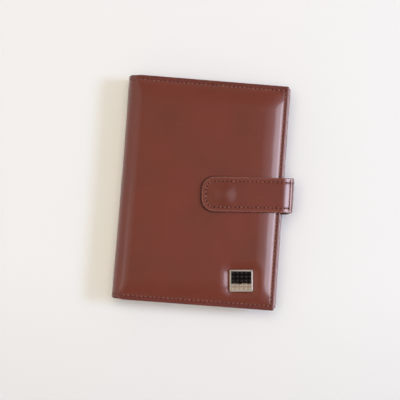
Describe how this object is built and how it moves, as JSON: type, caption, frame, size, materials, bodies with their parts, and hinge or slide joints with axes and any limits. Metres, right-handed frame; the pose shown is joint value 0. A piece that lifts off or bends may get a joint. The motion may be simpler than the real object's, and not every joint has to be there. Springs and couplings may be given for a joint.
{
  "type": "travel document wallet",
  "caption": "Padded leather travel wallet that opens like a book on a soft spine, with passport sleeve, card and slip pockets, a metal badge and a snap strap.",
  "frame": {"origin": "under the middle of the closed wallet with its strap, on the surface that it lies on", "axes": "+X from the spine to the fore edge, +Y from the tail to the head, +Z out of the front cover"},
  "size_m": [0.1082, 0.14, 0.0236],
  "materials": {
    "cover_leather": "smooth glossy brown leather",
    "inner_leather": "smooth satin brown leather",
    "lining_fabric": "fine woven lining",
    "padding_foam": "soft foam sheet",
    "stiffener_board": "grey-brown board",
    "polished_metal": "polished plated metal",
    "snap_metal": "nickel plated",
    "spring_metal": "spring brass wire"
  },
  "bodies": {
    "rear_cover": {"rear_leather": "cover_leather", "rear_padding": "padding_foam", "rear_board": "stiffener_board", "rear_lining": "lining_fabric", "passport_sleeve": "inner_leather", "strap_root_leather": "cover_leather", "strap_root_lining": "inner_leather"},
    "spine": {"spine_leather": "cover_leather", "spine_padding": "padding_foam", "spine_lining": "lining_fabric"},
    "front_cover": {"front_leather": "cover_leather", "front_padding": "padding_foam", "front_board": "stiffener_board", "front_lining": "lining_fabric", "slip_pocket": "inner_leather", "card_pocket_upper": "inner_leather", "card_pocket_middle": "inner_leather", "card_pocket_lower": "inner_leather", "badge_frame": "polished_metal", "badge_plate": "polished_metal", "badge_backing": "polished_metal", "snap_stud": "snap_metal", "snap_rivet": "snap_metal"},
    "strap_side": {"strap_side_leather": "cover_leather", "strap_side_lining": "inner_leather"},
    "strap_tab": {"strap_tab_leather": "cover_leather", "strap_tab_lining": "inner_leather", "snap_socket": "snap_metal", "snap_spring": "spring_metal", "snap_cap": "snap_metal"}
  },
  "joints": [
    {"name": "spine_fold", "type": "hinge", "parent": "rear_cover", "child": "spine", "pos_m": [-0.05235, 0, 0.00172], "axis": [0, -1, 0], "range_deg": [0, 88]},
    {"name": "cover_fold", "type": "hinge", "parent": "spine", "child": "front_cover", "pos_m": [-0.05235, 0, 0.01848], "axis": [0, -1, 0], "range_deg": [0, 88]},
    {"name": "strap_lift", "type": "hinge", "parent": "rear_cover", "child": "strap_side", "pos_m": [0.0518, 0.0016, 0.00303], "axis": [-0.0593, 0.9982, 0], "range_deg": [0, 90]},
    {"name": "strap_unfold", "type": "hinge", "parent": "strap_side", "child": "strap_tab", "pos_m": [0.05146, 0.00158, 0.02078], "axis": [-0.0593, 0.9982, 0], "range_deg": [0, 90]}
  ],
  "couplings": [
    {"joint": "cover_fold", "follows": "spine_fold", "ratio": 1},
    {"joint": "strap_unfold", "follows": "strap_lift", "ratio": 1}
  ]
}
